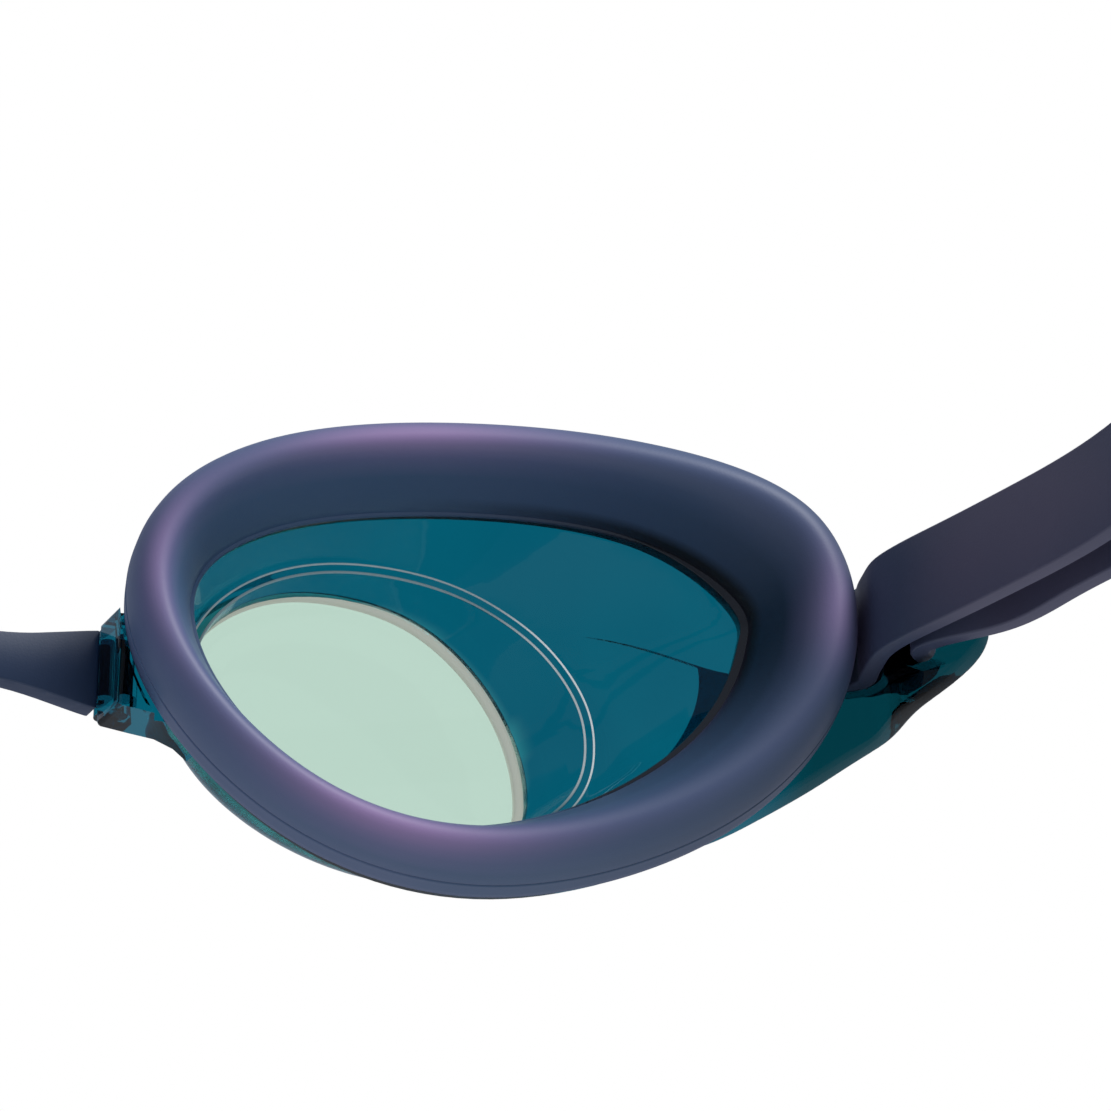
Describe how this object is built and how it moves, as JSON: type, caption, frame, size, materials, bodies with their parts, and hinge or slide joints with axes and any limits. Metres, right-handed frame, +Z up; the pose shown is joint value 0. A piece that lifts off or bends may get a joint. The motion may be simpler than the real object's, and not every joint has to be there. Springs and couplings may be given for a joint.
{
  "type": "swim goggles",
  "caption": "Swim goggles with tinted rigid cups, soft face seals, a flexible nose bridge and a double head strap with a rear clip.",
  "frame": {"origin": "midway between the two cups, 4 mm behind the nose bridge", "axes": "+Z up as worn, -Y the way the goggles look, +X towards the wearer's left"},
  "size_m": [0.1584, 0.1917, 0.0809],
  "materials": {
    "teal_shell": "gloss, see-through tint",
    "window": "clear polished",
    "seal_silicone": "satin",
    "carrier_plastic": "satin",
    "bridge_silicone": "satin",
    "strap_silicone": "satin",
    "clip_plastic": "fine texture"
  },
  "bodies": {
    "bridge": {"nose_bridge": "bridge_silicone", "strap_back_upper": "strap_silicone", "back_clip": "clip_plastic", "strap_side_upper_right": "strap_silicone", "strap_side_upper_left": "strap_silicone", "strap_side_lower_right": "strap_silicone", "strap_side_lower_left": "strap_silicone", "strap_back_lower_right": "strap_silicone", "strap_back_lower_left": "strap_silicone", "strap_fold_right": "strap_silicone", "strap_fold_left": "strap_silicone"},
    "right_cup": {"frame_right": "teal_shell", "lens_right": "window", "gasket_right": "seal_silicone", "carrier_right": "carrier_plastic", "strap_wrap_right": "strap_silicone"},
    "left_cup": {"frame_left": "teal_shell", "lens_left": "window", "gasket_left": "seal_silicone", "carrier_left": "carrier_plastic", "strap_wrap_left": "strap_silicone"},
    "right_tail": {"strap_tail_right": "strap_silicone"},
    "left_tail": {"strap_tail_left": "strap_silicone"}
  },
  "joints": [
    {"name": "right_cup_turn", "type": "hinge", "parent": "bridge", "child": "right_cup", "pos_m": [-0.013, -0.0043, 0], "axis": [0, 0, 1], "range_deg": [-6, 6], "deforming": ["strap_side_upper_right", "strap_side_lower_right"]},
    {"name": "left_cup_turn", "type": "hinge", "parent": "bridge", "child": "left_cup", "pos_m": [0.013, -0.0043, 0], "axis": [0, 0, 1], "range_deg": [-6, 6], "deforming": ["strap_side_upper_left", "strap_side_lower_left"]},
    {"name": "right_tail_pull", "type": "slide", "parent": "bridge", "child": "right_tail", "axis": [-1, 0, 0], "range_m": [0, 0.012]},
    {"name": "left_tail_pull", "type": "slide", "parent": "bridge", "child": "left_tail", "axis": [1, 0, 0], "range_m": [0, 0.012]}
  ]
}
